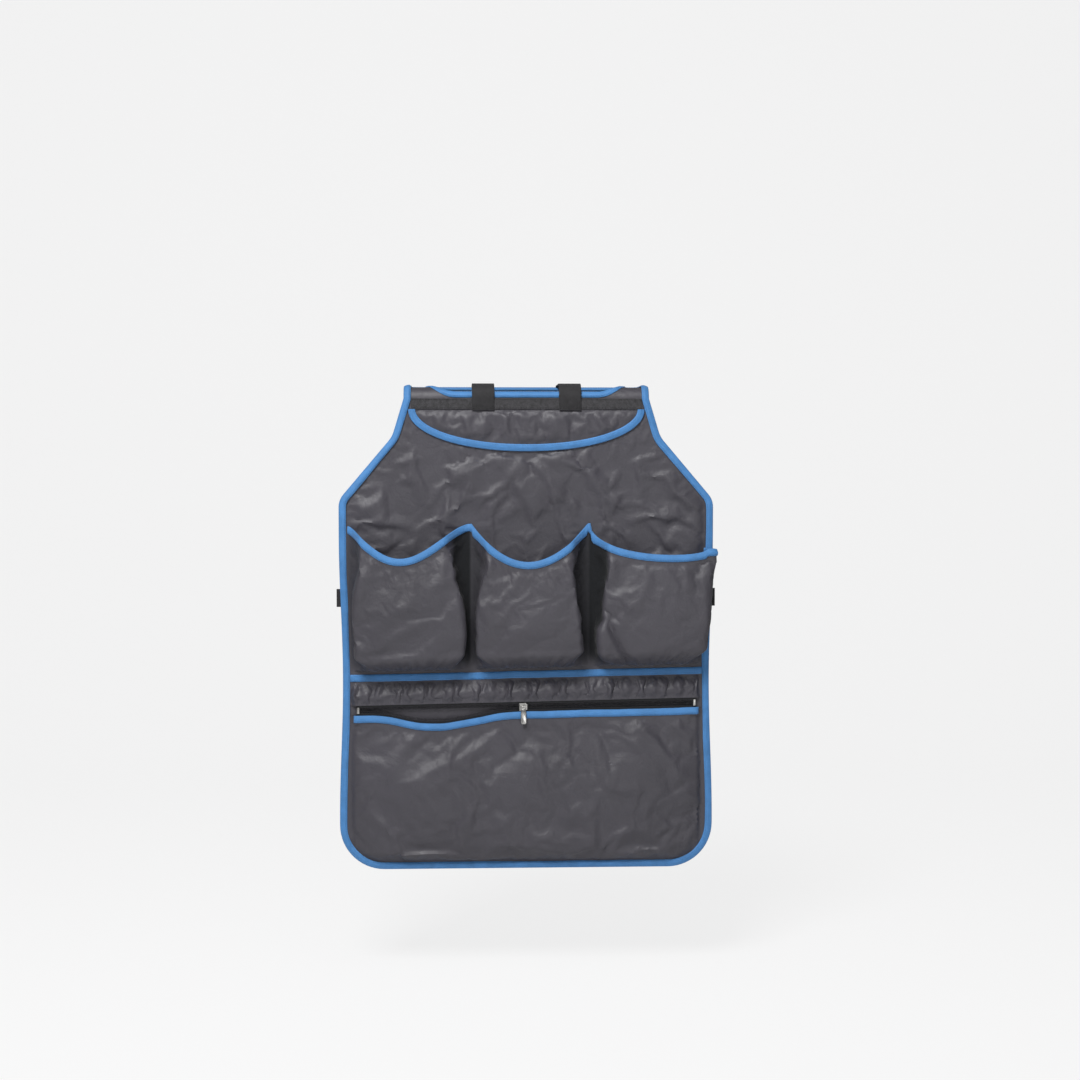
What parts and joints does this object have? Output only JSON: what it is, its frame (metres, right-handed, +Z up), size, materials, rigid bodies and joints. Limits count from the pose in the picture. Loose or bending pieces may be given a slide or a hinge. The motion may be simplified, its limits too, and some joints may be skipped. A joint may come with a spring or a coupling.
{
  "type": "car seat back organizer",
  "caption": "Fabric organizer that hangs on the back of a car seat by a slot over the head restraint posts, with a row of open pleated pockets above a wide zipped pocket.",
  "frame": {"origin": "middle of the slot for the head restraint posts, level with the underside of the folded top", "axes": "+Z up, along the hanging cloth; the pockets face -Y, so +Y points into the seat back; +X to the right seen from the pockets' side"},
  "size_m": [0.4248, 0.1203, 0.5453],
  "materials": {
    "charcoal_nylon": "coated woven nylon, satin",
    "blue_binding": "ribbed woven tape",
    "black_webbing": "matt touch-fastener and webbing",
    "black_zip": "nylon coil and woven tape",
    "nickel": "die cast, nickel plated"
  },
  "bodies": {
    "organizer": {"back_panel": "charcoal_nylon", "yoke_panel": "charcoal_nylon", "pocket_strip": "charcoal_nylon", "zip_strip": "charcoal_nylon", "lower_panel": "charcoal_nylon", "edge_binding": "blue_binding", "slot_binding": "blue_binding", "yoke_binding": "blue_binding", "pocket_strip_binding": "blue_binding", "divider_binding": "blue_binding", "lower_panel_binding": "blue_binding", "loop_strip": "black_webbing", "hook_tab_left": "black_webbing", "hook_tab_right": "black_webbing", "side_loop_left": "black_webbing", "side_loop_right": "black_webbing", "zip_tape_upper": "black_zip", "zip_tape_lower": "black_zip", "zip_coil_upper": "black_zip", "zip_coil_lower": "black_zip", "zip_stop_left": "nickel", "zip_stop_right": "nickel"},
    "slider": {"zip_slider": "nickel"},
    "pull": {"zip_pull": "nickel"}
  },
  "joints": [
    {"name": "slider_slide", "type": "slide", "parent": "organizer", "child": "slider", "axis": [0.9998, 0, 0.0192], "range_m": [-0.178, 0.186]},
    {"name": "pull_swing", "type": "hinge", "parent": "slider", "child": "pull", "pos_m": [-0.004, -0.039, -0.35678], "axis": [-0.9998, 0, -0.0192], "range_deg": [0, 150]}
  ]
}
